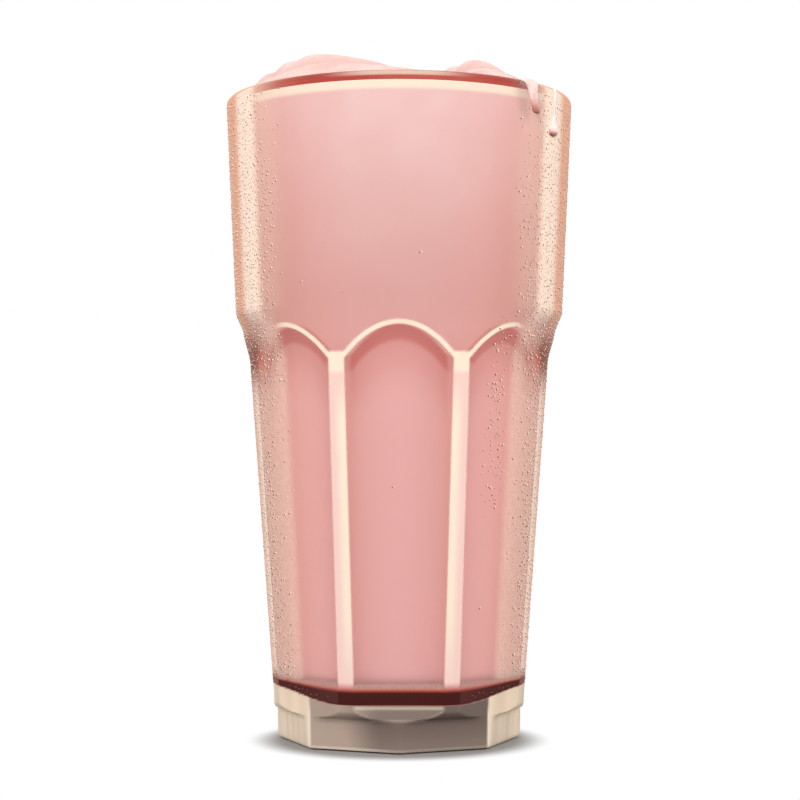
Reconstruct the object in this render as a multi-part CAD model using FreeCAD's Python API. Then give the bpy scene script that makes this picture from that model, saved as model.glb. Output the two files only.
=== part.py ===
import FreeCAD, Part
import math
import os

# A tall fluted tumbler, full of strawberry milkshake with two mounds of froth above the rim.
# Millimetres, +Z up.  The origin is the centre of the foot, on the surface it stands on.
#
# The glass is one pressed piece.  From the foot up it has an eight-sided block, a tapered
# body of flat-bottomed flutes with narrow ribs between them, a short shoulder and a plain
# conical band that ends in a round lip.  One flute faces -Y.

# --- glass, overall -----------------------------------------------------------------------
HEIGHT = 160.0                # foot to crest of the lip
RIM_RADIUS = 43.6             # outside, just below the lip
LIP_WALL = 2.9                # wall at the lip
LIP_ROUND_SHARE = 0.46        # of that wall, the radius of each edge of the lip
BAND_FOOT_RADIUS = 41.0       # outside of the plain band, where the shoulder starts
BAND_DEPTH = 54.0             # from the crest of the lip down to the shoulder
SHOULDER_HEIGHT = 4.0         # of the cone that steps in from the band to the ribs
SHOULDER_TOP_ROUND = 3.0
SHOULDER_FOOT_ROUND = 5.0

# --- ribs and flutes ----------------------------------------------------------------------
FLUTE_COUNT = 8
RIB_TOP_RADIUS = 39.2         # outside of the ribs, under the shoulder
RIB_FOOT_RADIUS = 32.5        # outside of the ribs, where the foot starts
RIB_TOP_WIDTH = 3.3           # flat land between two flutes, at the top
RIB_FOOT_WIDTH = 4.0          # and at the foot
FLUTE_HOLLOW_RADIUS = 200.0   # the slight hollow across a flute
ARCH_DROP = 0.5               # from the foot of the shoulder to the top of an arch
ARCH_LEAN = 22.5              # degrees from upright of the slope below an arch
ARCH_ROUND = 9.0              # where that slope runs into the flute
FLUTE_FOOT_ROUND = 14.0       # where a flute turns upright beside the foot

# --- foot ---------------------------------------------------------------------------------
FOOT_HEIGHT = 12.4            # of the block below the ribs
FOOT_TOP_APOTHEM = 28.6       # axis to the middle of a foot face, at the top of the face
FOOT_BOTTOM_APOTHEM = 28.2    # and at the bottom
FOOT_EDGE_CHAMFER = 0.8
FLUTE_FOOT_SLOPE = 0.15       # how far a flute leans in over the height of the foot
UNDERCUT_CLEARANCE = 0.3      # by which the round under a rib runs past the rib

# --- cavity and contents ------------------------------------------------------------------
FLOOR_THICKNESS = 12.4        # solid glass below the cavity
FLOOR_CORNER_RADIUS = 7.0
PANEL_WALL = 2.2              # glass behind the middle of a flute
CAVITY_BEND_RADIUS = 160.0    # where the wall turns from body to band
FREEBOARD = 2.0               # from the crest of the lip down to the drink

# --- froth: two mounds that fill the mouth, each on its own side of a crease --------------
FROTH_WALL_GAP = 0.5          # between the foot of the froth and the wall
CREASE_X = 3.0                # of the crease between the two mounds
CREASE_TURN = 24.0            # degrees that the crease is turned from the YZ plane
CREASE_WIDTH = 0.4
LEFT_MOUND_HEIGHT = 13.7      # above the drink
LEFT_MOUND_TOP = (-23.9, 4.7)
RIGHT_MOUND_HEIGHT = 13.0
RIGHT_MOUND_TOP = (16.8, 7.7)
MOUND_CORNER_RADIUS = 7.0     # where a mound's foot turns from the wall to the crease
MOUND_CORNER_POWER = 7.0      # how closely its slopes follow that corner
MOUND_EDGE = 1.2              # upright edge round the foot of a mound
MOUND_FULLNESS = 1.8          # how far out a mound keeps its height
MOUND_LOBES = 5               # soft lobes round a mound
MOUND_LOBE_DEPTH = 0.20       # share of the height
FOLD_SHARE = 0.55             # share of the way out at which the froth folds over
FOLD_WIDTH = 0.10
FOLD_DEPTH = 1.1
FOLD_WANDER = 0.12            # how far the fold strays in and out round a mound
LEFT_MOUND_PHASE = 0.47       # radians by which lobes and fold are turned
RIGHT_MOUND_PHASE = 0.63

# --- how the shapes are cut ----------------------------------------------------------------
CUTTER_REACH = 12.0           # how far a cutting shape stands outside the glass
CUTTER_DROP = 1.0             # and below it
FLUTE_SWEEP = 12.0            # degrees of the hollow that one flute cutter covers
SHEET_MARGIN = 2.0            # by which the sheet above a mound passes the wall
SHEET_POINTS = 34             # along each side of the sheet
JOIN_TOLERANCE = 1e-6


def corner_arc(before, corner, after, radius):
    """Ends and middle of the arc that rounds a corner of an outline."""
    to_before = (before - corner).normalize()
    to_after = (after - corner).normalize()
    half = 0.5 * to_before.getAngle(to_after)
    reach = radius / math.tan(half)
    bisector = (to_before + to_after).normalize()
    centre = corner + bisector * (radius / math.sin(half))
    start = corner + to_before * reach
    end = corner + to_after * reach
    middle = centre - bisector * radius
    return start, middle, end


def outline_face(points):
    """Face in the XZ plane from (x, z, corner radius) points."""
    corners = [FreeCAD.Vector(x, 0.0, z) for x, z, _ in points]
    radii = [radius for _, _, radius in points]
    count = len(points)
    arcs = []
    for index in range(count):
        if radii[index] > 0.0:
            arcs.append(corner_arc(corners[index - 1], corners[index],
                                   corners[(index + 1) % count], radii[index]))
        else:
            arcs.append((corners[index], None, corners[index]))
    edges = []
    for index in range(count):
        start, middle, end = arcs[index]
        if middle is not None:
            edges.append(Part.Arc(start, middle, end).toShape())
        following = arcs[(index + 1) % count][0]
        if end.distanceToPoint(following) > JOIN_TOLERANCE:
            edges.append(Part.LineSegment(end, following).toShape())
    return Part.Face(Part.Wire(edges))


def revolved(points):
    """Solid of revolution about Z from an outline."""
    return outline_face(points).revolve(FreeCAD.Vector(0, 0, 0), FreeCAD.Vector(0, 0, 1), 360.0)


def turned(shape, degrees):
    """Copy of a shape, turned about Z."""
    copy = shape.copy()
    copy.rotate(FreeCAD.Vector(0, 0, 0), FreeCAD.Vector(0, 0, 1), degrees)
    return copy


def between(low, high, z):
    """Radius at height z on the straight line between two (radius, height) points."""
    share = (z - low[1]) / (high[1] - low[1])
    return low[0] + share * (high[0] - low[0])


def flute_distance(rib_radius, rib_width):
    """Axis to the middle of a flute that leaves a rib of the given width."""
    half_angle = math.pi / FLUTE_COUNT - math.asin(0.5 * rib_width / rib_radius)
    half_chord = rib_radius * math.sin(half_angle)
    sag = FLUTE_HOLLOW_RADIUS - math.sqrt(FLUTE_HOLLOW_RADIUS ** 2 - half_chord ** 2)
    return rib_radius * math.cos(half_angle) - sag


BAND_FOOT = HEIGHT - BAND_DEPTH
RIB_TOP = BAND_FOOT - SHOULDER_HEIGHT
ARCH_TOP = RIB_TOP - ARCH_DROP
LEVEL = HEIGHT - FREEBOARD
PITCH = 360.0 / FLUTE_COUNT

FLUTE_TOP_DISTANCE = flute_distance(RIB_TOP_RADIUS, RIB_TOP_WIDTH)
FLUTE_FOOT_DISTANCE = flute_distance(RIB_FOOT_RADIUS, RIB_FOOT_WIDTH)
LEAN_SLOPE = math.tan(math.radians(ARCH_LEAN))
FLUTE_TOP = ARCH_TOP - (RIB_TOP_RADIUS - FLUTE_TOP_DISTANCE) / LEAN_SLOPE
CAVITY_RIM_RADIUS = RIM_RADIUS - LIP_WALL
CAVITY_BEND = (FLUTE_TOP_DISTANCE - PANEL_WALL, FLUTE_TOP)
CAVITY_FOOT = (FLUTE_FOOT_DISTANCE - PANEL_WALL, FLOOR_THICKNESS)
LEVEL_RADIUS = between(CAVITY_BEND, (CAVITY_RIM_RADIUS, HEIGHT), LEVEL)
FROTH_RADIUS = LEVEL_RADIUS - FROTH_WALL_GAP


def glass_blank():
    """The glass before the flutes and the foot faces are cut."""
    lip_round = LIP_ROUND_SHARE * LIP_WALL
    rib_slope = (RIB_TOP_RADIUS - RIB_FOOT_RADIUS) / (RIB_TOP - FOOT_HEIGHT)
    base_radius = RIB_FOOT_RADIUS - rib_slope * FOOT_HEIGHT
    return revolved([
        (0.0, 0.0, 0.0),
        (base_radius, 0.0, 0.0),
        (RIB_TOP_RADIUS, RIB_TOP, SHOULDER_FOOT_ROUND),
        (BAND_FOOT_RADIUS, BAND_FOOT, SHOULDER_TOP_ROUND),
        (RIM_RADIUS, HEIGHT, lip_round),
        (CAVITY_RIM_RADIUS, HEIGHT, lip_round),
        (CAVITY_BEND[0], CAVITY_BEND[1], CAVITY_BEND_RADIUS),
        (CAVITY_FOOT[0], CAVITY_FOOT[1], FLOOR_CORNER_RADIUS),
        (0.0, FLOOR_THICKNESS, 0.0),
    ])


def flute_cutter():
    """Everything outside one flute, on the +X side, up to the top of its arch."""
    outside = RIM_RADIUS + CUTTER_REACH
    upright = FLUTE_FOOT_DISTANCE - FLUTE_FOOT_SLOPE
    face = outline_face([
        (upright - FOOT_EDGE_CHAMFER, 0.0, 0.0),
        (upright, FOOT_EDGE_CHAMFER, 0.0),
        (FLUTE_FOOT_DISTANCE, FOOT_HEIGHT, FLUTE_FOOT_ROUND),
        (FLUTE_TOP_DISTANCE, FLUTE_TOP, ARCH_ROUND),
        (RIB_TOP_RADIUS, ARCH_TOP, 0.0),
        (outside, ARCH_TOP, 0.0),
        (outside, -CUTTER_DROP, 0.0),
        (upright - FOOT_EDGE_CHAMFER - CUTTER_DROP, -CUTTER_DROP, 0.0),
    ])
    axis = FreeCAD.Vector(FLUTE_FOOT_DISTANCE + FLUTE_HOLLOW_RADIUS, 0, 0)
    up = FreeCAD.Vector(0, 0, 1)
    face.rotate(axis, up, -0.5 * FLUTE_SWEEP)
    return face.revolve(axis, up, FLUTE_SWEEP)


def foot_cutter():
    """Everything outside one face of the foot, on the +X side."""
    outside = RIM_RADIUS + CUTTER_REACH
    round_under = RIB_FOOT_RADIUS - FOOT_TOP_APOTHEM + UNDERCUT_CLEARANCE
    face_top = FOOT_HEIGHT - round_under
    start = FreeCAD.Vector(FOOT_TOP_APOTHEM, 0, face_top)
    end = FreeCAD.Vector(FOOT_TOP_APOTHEM + round_under, 0, FOOT_HEIGHT)
    diagonal = round_under * math.sqrt(0.5)
    middle = FreeCAD.Vector(FOOT_TOP_APOTHEM + diagonal, 0, FOOT_HEIGHT - diagonal)
    inner = FOOT_BOTTOM_APOTHEM - FOOT_EDGE_CHAMFER
    corners = [
        end,
        FreeCAD.Vector(outside, 0, FOOT_HEIGHT),
        FreeCAD.Vector(outside, 0, -CUTTER_DROP),
        FreeCAD.Vector(inner - CUTTER_DROP, 0, -CUTTER_DROP),
        FreeCAD.Vector(inner, 0, 0.0),
        FreeCAD.Vector(FOOT_BOTTOM_APOTHEM, 0, FOOT_EDGE_CHAMFER),
        start,
    ]
    edges = [Part.LineSegment(a, b).toShape() for a, b in zip(corners, corners[1:])]
    edges.append(Part.Arc(start, middle, end).toShape())
    face = Part.Face(Part.Wire(edges))
    half_width = RIM_RADIUS * math.sin(math.pi / FLUTE_COUNT) + CUTTER_REACH
    face.translate(FreeCAD.Vector(0, -half_width, 0))
    return face.extrude(FreeCAD.Vector(0, 2.0 * half_width, 0))


def build_glass():
    """The tumbler."""
    glass = glass_blank()
    flute = flute_cutter()
    foot_face = foot_cutter()
    for index in range(FLUTE_COUNT):
        glass = glass.cut(turned(flute, -90.0 + index * PITCH))
        glass = glass.cut(turned(foot_face, -90.0 + (index + 0.5) * PITCH))
    return glass


def build_milkshake():
    """The drink, which fills the cavity up to its level."""
    return revolved([
        (0.0, FLOOR_THICKNESS, 0.0),
        (CAVITY_FOOT[0], CAVITY_FOOT[1], FLOOR_CORNER_RADIUS),
        (CAVITY_BEND[0], CAVITY_BEND[1], CAVITY_BEND_RADIUS),
        (LEVEL_RADIUS, LEVEL, 0.0),
        (0.0, LEVEL, 0.0),
    ])


def mound_foot_reach(middle, angle, side):
    """Distance from a mound's middle to its edge, at the wall on one side and the crease on the other."""
    along = middle[0] * math.cos(angle) + middle[1] * math.sin(angle)
    to_wall = -along + math.sqrt(along ** 2 + FROTH_RADIUS ** 2 - middle[0] ** 2 - middle[1] ** 2)
    turn = math.radians(CREASE_TURN)
    offset = (middle[0] - CREASE_X) * math.cos(turn) + middle[1] * math.sin(turn)
    to_crease = abs(offset) - 0.5 * CREASE_WIDTH
    facing_crease = max(-side * math.cos(angle - turn), 0.0)
    closeness = to_wall ** -MOUND_CORNER_POWER + (facing_crease / to_crease) ** MOUND_CORNER_POWER
    return closeness ** (-1.0 / MOUND_CORNER_POWER)


def mound_foot(side):
    """Face on which a mound rests: the crease, the wall and a rounded corner at each end of them."""
    turn = math.radians(CREASE_TURN)
    across = FreeCAD.Vector(side * math.cos(turn), side * math.sin(turn), 0)
    along = FreeCAD.Vector(-math.sin(turn), math.cos(turn), 0)
    crease = side * CREASE_X * math.cos(turn) + 0.5 * CREASE_WIDTH
    inner_radius = FROTH_RADIUS - MOUND_CORNER_RADIUS
    corner_across = crease + MOUND_CORNER_RADIUS
    corner_along = math.sqrt(inner_radius ** 2 - corner_across ** 2)
    corners = []
    for end in (-1.0, 1.0):
        centre = across * corner_across + along * (end * corner_along)
        outward = FreeCAD.Vector(centre).normalize()
        bisector = (outward - across).normalize()
        corners.append([centre - across * MOUND_CORNER_RADIUS,
                        centre + bisector * MOUND_CORNER_RADIUS,
                        outward * FROTH_RADIUS])
    first, second = corners
    edges = [
        Part.LineSegment(first[0], second[0]).toShape(),
        Part.Arc(*second).toShape(),
        Part.Arc(second[2], across * FROTH_RADIUS, first[2]).toShape(),
        Part.Arc(*reversed(first)).toShape(),
    ]
    foot = Part.Face(Part.Wire(edges))
    foot.translate(FreeCAD.Vector(0, 0, LEVEL))
    return foot


def mound_surface(middle, side, height, phase):
    """Top of a mound, as a sheet over the whole mouth."""
    half = CAVITY_RIM_RADIUS + SHEET_MARGIN
    rows = []
    for row in range(SHEET_POINTS):
        y = -half + 2.0 * half * row / (SHEET_POINTS - 1)
        line = []
        for column in range(SHEET_POINTS):
            x = -half + 2.0 * half * column / (SHEET_POINTS - 1)
            angle = math.atan2(y - middle[1], x - middle[0])
            share = math.hypot(x - middle[0], y - middle[1]) / mound_foot_reach(middle, angle, side)
            share = min(share, 1.0)
            lobes = MOUND_LOBE_DEPTH * share * math.cos(MOUND_LOBES * angle + phase)
            fold_share = FOLD_SHARE + FOLD_WANDER * math.cos(angle + phase)
            fold = FOLD_DEPTH * math.exp(-((share - fold_share) / FOLD_WIDTH) ** 2)
            rise = (height - MOUND_EDGE) * (1.0 - share ** MOUND_FULLNESS)
            line.append(FreeCAD.Vector(x, y, LEVEL + MOUND_EDGE + rise * (1.0 + lobes) - fold))
        rows.append(line)
    surface = Part.BSplineSurface()
    surface.interpolate(rows)
    return surface.toShape()


def build_mound(middle, side, height, phase):
    """One mound of froth, flat where it rests on the drink."""
    prism = mound_foot(side).extrude(FreeCAD.Vector(0, 0, (1.0 + MOUND_LOBE_DEPTH) * height))
    below = mound_surface(middle, side, height, phase).extrude(FreeCAD.Vector(0, 0, -LEVEL))
    return prism.common(below)


if __name__ == "__main__":
    os.makedirs("parts", exist_ok=True)
    nodes = {
        "glass": build_glass(),
        "milkshake": build_milkshake(),
        "froth_left": build_mound(LEFT_MOUND_TOP, -1, LEFT_MOUND_HEIGHT, LEFT_MOUND_PHASE),
        "froth_right": build_mound(RIGHT_MOUND_TOP, 1, RIGHT_MOUND_HEIGHT, RIGHT_MOUND_PHASE),
    }
    for name, shape in nodes.items():
        print(name, "valid" if shape.isValid() else "not valid", round(shape.Volume), "mm3")
        shape.exportStep("parts/" + name + ".step")
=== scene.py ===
"""A strawberry milkshake in a tall fluted tumbler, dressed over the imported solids."""

import logging
import math
from dataclasses import dataclass, field
from enum import Enum

import bpy
import numpy as np
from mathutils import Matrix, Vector


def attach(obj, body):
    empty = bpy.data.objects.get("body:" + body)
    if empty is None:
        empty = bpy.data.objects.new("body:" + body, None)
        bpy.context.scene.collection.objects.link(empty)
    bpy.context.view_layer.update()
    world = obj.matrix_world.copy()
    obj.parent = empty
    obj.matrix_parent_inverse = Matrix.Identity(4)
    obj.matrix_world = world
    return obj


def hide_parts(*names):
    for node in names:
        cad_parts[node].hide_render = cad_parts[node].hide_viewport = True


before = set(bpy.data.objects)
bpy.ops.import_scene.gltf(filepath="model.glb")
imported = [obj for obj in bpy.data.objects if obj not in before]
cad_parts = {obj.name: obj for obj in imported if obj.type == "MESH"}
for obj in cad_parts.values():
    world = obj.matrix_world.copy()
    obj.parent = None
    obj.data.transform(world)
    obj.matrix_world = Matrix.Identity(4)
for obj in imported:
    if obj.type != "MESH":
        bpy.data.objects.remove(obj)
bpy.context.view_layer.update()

LOG = logging.getLogger("milkshake")
MM = 0.001                     # sizes below are in millimetres, and Blender's are in metres
BODY = "root"
FRONT = math.radians(-90.0)    # azimuth of -Y, where one flute faces
WHITE = (1.0, 1.0, 1.0, 1.0)
FLOOR_RINGS = np.array([0.2, 0.5, 0.8])   # of the way out, over a flat round floor


class Side(Enum):
    """Which of the two mounds of froth, by the sign of its X."""

    LEFT = -1
    RIGHT = 1


# --- wiring and mesh helpers ---------------------------------------------------------------


class Owner(Enum):
    """What a node tree belongs to, by the type of its output node."""

    MATERIAL = "ShaderNodeOutputMaterial"
    WORLD = "ShaderNodeOutputWorld"


class Wiring:
    """The node tree of one material or world, with short ways to add and join its nodes."""

    def __init__(self, name: str, owner: Owner = Owner.MATERIAL) -> None:
        """Starts an empty node tree.

        Args:
            name: the name of its material or world.
            owner: which of the two it is.
        """
        owners = bpy.data.materials if owner is Owner.MATERIAL else bpy.data.worlds
        self.owner = owners.new(name)
        self.owner.use_nodes = True
        self.tree = self.owner.node_tree
        self.tree.nodes.clear()
        self.output = self.add(owner.value)

    def add(self, kind: str, inputs: dict | None = None, **settings: object) -> bpy.types.Node:
        """Adds a node.

        Args:
            kind: the node's type name.
            inputs: socket name or number to a value, or to the socket that feeds it.
            settings: the node's own properties.

        Returns:
            The new node.
        """
        node = self.tree.nodes.new(kind)
        for name, value in settings.items():
            setattr(node, name, value)
        for name, value in (inputs or {}).items():
            if isinstance(value, bpy.types.NodeSocket):
                self.tree.links.new(value, node.inputs[name])
            else:
                node.inputs[name].default_value = value
        return node

    def maths(self, operation: str, first: object, second: object = 0.0) -> bpy.types.NodeSocket:
        """A Math node's result.

        Args:
            operation: MULTIPLY, ADD, POWER and so on.
            first: a number or a socket.
            second: a number or a socket.

        Returns:
            The output socket.
        """
        return self.add("ShaderNodeMath", {0: first, 1: second}, operation=operation).outputs[0]

    def ramp(self, value: object, low: float, high: float,
             bottom: float = 0.0, top: float = 1.0) -> bpy.types.NodeSocket:
        """A smooth step between two values.

        Args:
            value: the socket to step on.
            low: where the step starts.
            high: where it ends.
            bottom: the result below low.
            top: the result above high.

        Returns:
            The output socket.
        """
        node = self.add("ShaderNodeMapRange",
                        {"Value": value, "From Min": low, "From Max": high, "To Min": bottom, "To Max": top},
                        interpolation_type="SMOOTHSTEP")
        return node.outputs["Result"]

    def blend(self, share: object, first: object, second: object) -> bpy.types.NodeSocket:
        """A mix of two colours.

        Args:
            share: how much of the second colour.
            first: a colour or a socket.
            second: a colour or a socket.

        Returns:
            The colour socket.
        """
        node = self.add("ShaderNodeMix", {0: share, 6: first, 7: second}, data_type="RGBA")
        return node.outputs[2]

    def attribute(self, name: str) -> bpy.types.NodeSocket:
        """The number that a mesh holds under this name at each vertex."""
        return self.add("ShaderNodeAttribute", attribute_name=name).outputs["Fac"]

    def place(self) -> bpy.types.NodeSocket:
        """The place on the object, in metres."""
        return self.add("ShaderNodeTexCoord").outputs["Object"]

    def noise(self, scale: float, detail: float = 2.0, roughness: float = 0.5) -> bpy.types.NodeSocket:
        """Noise in the object's own space.

        Args:
            scale: repeats to the metre.
            detail: octaves.
            roughness: how strong the fine octaves are.

        Returns:
            The noise value, about 0.5 in the middle.
        """
        node = self.add("ShaderNodeTexNoise",
                        {"Vector": self.place(), "Scale": scale, "Detail": detail, "Roughness": roughness})
        return node.outputs["Fac"]

    def bump(self, height: object, distance: float, strength: float = 1.0) -> bpy.types.NodeSocket:
        """A normal tilted by a height.

        Args:
            height: the height socket, 0 to 1.
            distance: metres of height at 1.
            strength: share of the effect.

        Returns:
            The normal socket.
        """
        node = self.add("ShaderNodeBump", {"Height": height, "Distance": distance, "Strength": strength})
        return node.outputs["Normal"]

    def seen(self) -> bpy.types.NodeSocket:
        """1 for a ray that shows a surface to the viewer, straight, mirrored or through glass.

        Returns:
            The output socket.
        """
        light = self.add("ShaderNodeLightPath")
        bent = self.maths("MAXIMUM", light.outputs["Is Glossy Ray"], light.outputs["Is Transmission Ray"])
        return self.maths("MAXIMUM", light.outputs["Is Camera Ray"], bent)

    def finish(self, surface: bpy.types.NodeSocket) -> bpy.types.Material:
        """Joins the surface to the output and returns the material or world."""
        self.tree.links.new(surface, self.output.inputs["Surface"])
        return self.owner

    def coat(self, colour: object, roughness: float, inputs: dict | None = None) -> bpy.types.Material:
        """Finishes the material as one Principled surface.

        Args:
            colour: the socket of its base colour.
            roughness: of the surface.
            inputs: its other sockets, as in add.

        Returns:
            The material.
        """
        sockets = {"Base Color": colour, "Roughness": roughness, **(inputs or {})}
        return self.finish(self.add("ShaderNodeBsdfPrincipled", sockets).outputs[0])


def linear(red: int, green: int, blue: int) -> tuple[float, float, float, float]:
    """A display colour, 0 to 255 a channel, as the linear colour that a shader takes."""
    channels = [c / 255.0 for c in (red, green, blue)]
    return (*[c / 12.92 if c <= 0.04045 else ((c + 0.055) / 1.055) ** 2.4 for c in channels], 1.0)


def mesh_object(name: str, points: np.ndarray, faces: list, material: bpy.types.Material,
                masks: dict[str, np.ndarray] | None = None) -> bpy.types.Object:
    """A smooth mesh object in the scene.

    Args:
        name: the object's name.
        points: one row of x, y, z in millimetres for each vertex.
        faces: vertex numbers of each face.
        material: its finish.
        masks: numbers for each vertex, by attribute name.

    Returns:
        The new object.
    """
    mesh = bpy.data.meshes.new(name)
    mesh.from_pydata((points * MM).tolist(), [], faces)
    mesh.polygons.foreach_set("use_smooth", [True] * len(mesh.polygons))
    for mask, values in (masks or {}).items():
        layer = mesh.attributes.new(mask, "FLOAT", "POINT")
        layer.data.foreach_set("value", values.astype(np.float32).ravel())
    mesh.materials.append(material)
    mesh.update()
    body = bpy.data.objects.new(name, mesh)
    bpy.context.scene.collection.objects.link(body)
    return body


def turned_points(radii: np.ndarray, heights: np.ndarray, azimuths: np.ndarray) -> np.ndarray:
    """Points of rings about Z, one row of the result for each point.

    Args:
        radii: rings by columns, in millimetres.
        heights: rings by columns.
        azimuths: one for each column.

    Returns:
        x, y, z of every point, ring after ring.
    """
    return np.stack([radii * np.cos(azimuths), radii * np.sin(azimuths), heights], axis=-1).reshape(-1, 3)


def ring_faces(rings: int, columns: int) -> list[tuple[int, ...]]:
    """Quads between successive closed rings, facing out when the rings go up.

    Args:
        rings: how many rings.
        columns: points in each.

    Returns:
        The faces.
    """
    row = np.arange(rings - 1)[:, None] * columns
    column = np.arange(columns)[None, :]
    after = (column + 1) % columns
    above = row + columns
    quads = np.stack(np.broadcast_arrays(row + column, row + after, above + after, above + column), axis=-1)
    return [tuple(quad) for quad in quads.reshape(-1, 4).tolist()]


def fan_faces(centre: int, first: int, columns: int, upward: bool) -> list[tuple[int, int, int]]:
    """Triangles from a centre to a closed ring.

    Args:
        centre: number of the middle point.
        first: number of the ring's first point.
        columns: points in the ring.
        upward: whether the fan faces up.

    Returns:
        The faces.
    """
    fan = []
    for column in range(columns):
        here, after = first + column, first + (column + 1) % columns
        fan.append((centre, here, after) if upward else (centre, after, here))
    return fan


def closed_faces(rings: int, columns: int) -> list[tuple[int, ...]]:
    """Quads between closed rings, with a fan at each end to a middle point kept after the rings.

    Args:
        rings: how many rings.
        columns: points in each.

    Returns:
        The faces.
    """
    foot = fan_faces(rings * columns, 0, columns, False)
    head = fan_faces(rings * columns + 1, (rings - 1) * columns, columns, True)
    return ring_faces(rings, columns) + foot + head


def even_azimuths(columns: int) -> np.ndarray:
    """Azimuths of columns at even steps, from the front."""
    return FRONT + np.linspace(0.0, 2.0 * math.pi, columns, endpoint=False)


def capped_rings(radii: np.ndarray, heights: np.ndarray, azimuths: np.ndarray) -> tuple[np.ndarray, list]:
    """A closed skin of rings, with a fan to the axis at each end.

    Args:
        radii: rings by columns.
        heights: rings by columns.
        azimuths: one for each column.

    Returns:
        The points and the faces.
    """
    points = turned_points(radii, heights, azimuths)
    ends = np.array([[0.0, 0.0, heights[0].mean()], [0.0, 0.0, heights[-1].mean()]])
    return np.vstack([points, ends]), closed_faces(*radii.shape)


def rounded_outline(corners: list[tuple[float, float, float]], steps: int = 12) -> np.ndarray:
    """An outline with arcs at its corners.

    Args:
        corners: radius, height and corner radius of each corner.
        steps: points on each arc.

    Returns:
        One row of radius and height for each point.
    """
    spots = np.array([c[:2] for c in corners])
    outline = [spots[0]]
    for index in range(1, len(corners) - 1):
        corner, rounding = spots[index], corners[index][2]
        back = spots[index - 1] - corner
        ahead = spots[index + 1] - corner
        back /= np.linalg.norm(back)
        ahead /= np.linalg.norm(ahead)
        half = 0.5 * math.acos(np.clip(back @ ahead, -1.0, 1.0))
        if rounding == 0.0 or abs(half - 0.5 * math.pi) < 1e-6:
            outline.append(corner)
            continue
        bisector = (back + ahead) / np.linalg.norm(back + ahead)
        centre = corner + bisector * rounding / math.sin(half)
        start = corner + back * rounding / math.tan(half) - centre
        end = corner + ahead * rounding / math.tan(half) - centre
        sweep = math.pi - 2.0 * half
        for share in np.linspace(0.0, 1.0, steps):
            point = start * math.sin((1.0 - share) * sweep) + end * math.sin(share * sweep)
            outline.append(centre + point / math.sin(sweep))
    outline.append(spots[-1])
    return np.array(outline)


def soft_least(first: np.ndarray, second: np.ndarray, softness: float) -> np.ndarray:
    """The smaller of two surfaces, with a rounded edge where they meet."""
    overlap = np.maximum(softness - np.abs(first - second), 0.0)
    return np.minimum(first, second) - overlap ** 2 / (4.0 * softness)


def smooth_step(none: float, full: float, values: np.ndarray) -> np.ndarray:
    """A soft edge, which may rise or fall.

    Args:
        none: the value at which it is 0, and stays so beyond.
        full: the value at which it is 1, and stays so beyond.
        values: where it is wanted.

    Returns:
        0 to 1 for each value.
    """
    share = np.clip((values - none) / (full - none), 0.0, 1.0)
    return share * share * (3.0 - 2.0 * share)


def hump(middle: float, width: float, values: np.ndarray) -> np.ndarray:
    """A soft hump, 1 at its middle, which has fallen to a third at its width."""
    return np.exp(-((values - middle) / width) ** 2)


# --- finishes ------------------------------------------------------------------------------


@dataclass(frozen=True)
class ClearGlass:
    """Pressed glass, slightly wavy, with a faint grey-brown tint that shows in the thick foot."""

    ior: float = 1.5
    roughness: float = 0.02
    tint: tuple = (0.5, 0.35, 0.25, 1.0)
    density: float = 40.0          # of the tint, to the metre
    wave_scale: float = 90.0       # waves to the metre
    wave_height: float = 0.00004   # in metres

    def material(self) -> bpy.types.Material:
        """Glass that lets lamps and soft light through to what it holds."""
        wiring = Wiring("clear_glass")
        wave = wiring.bump(wiring.noise(self.wave_scale, 1.0), self.wave_height)
        glass = wiring.add("ShaderNodeBsdfPrincipled",
                           {"Base Color": WHITE, "Roughness": self.roughness, "IOR": self.ior,
                            "Transmission Weight": 1.0, "Normal": wave})
        light = wiring.add("ShaderNodeLightPath")
        clear = wiring.add("ShaderNodeBsdfTransparent")
        for_soft = wiring.add("ShaderNodeMixShader",
                              {0: light.outputs["Is Diffuse Ray"], 1: glass.outputs[0], 2: clear.outputs[0]})
        for_lamps = wiring.add("ShaderNodeMixShader", {0: light.outputs["Is Shadow Ray"],
                                                       1: for_soft.outputs[0], 2: clear.outputs[0]})
        volume = wiring.add("ShaderNodeVolumeAbsorption", {"Color": self.tint, "Density": self.density})
        wiring.tree.links.new(volume.outputs[0], wiring.output.inputs["Volume"])
        return wiring.finish(for_lamps.outputs[0])


@dataclass(frozen=True)
class DrinkFinish:
    """Thick strawberry milk behind the glass."""

    pink: tuple = linear(229, 195, 195)
    deep: tuple = linear(216, 159, 158)
    # painted shade: deeper pink where the wall faces the sides, away from the front light
    flank: tuple = linear(224, 158, 150)
    shade: tuple = linear(180, 76, 64)
    # painted shade where the drink curves under at its foot
    bottom_shade: tuple = linear(130, 44, 40)
    # painted highlight: a pale band just under the level
    cream: tuple = linear(240, 224, 206)
    roughness: float = 0.45

    def material(self) -> bpy.types.Material:
        """Pink that deepens downwards, with faint swirls, painted shade under the arches, at the sides and at
        its foot, and a painted highlight just under the level.
        """
        wiring = Wiring("strawberry_milk")
        swirl = wiring.ramp(wiring.noise(28.0, 3.0, 0.6), 0.35, 0.65, 0.0, 0.35)
        colour = wiring.blend(wiring.attribute("depth"), self.pink, self.deep)
        colour = wiring.blend(swirl, colour, self.deep)
        for mask in ("flank", "shade", "bottom_shade", "cream"):
            colour = wiring.blend(wiring.attribute(mask), colour, getattr(self, mask))
        return wiring.coat(colour, self.roughness)


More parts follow.
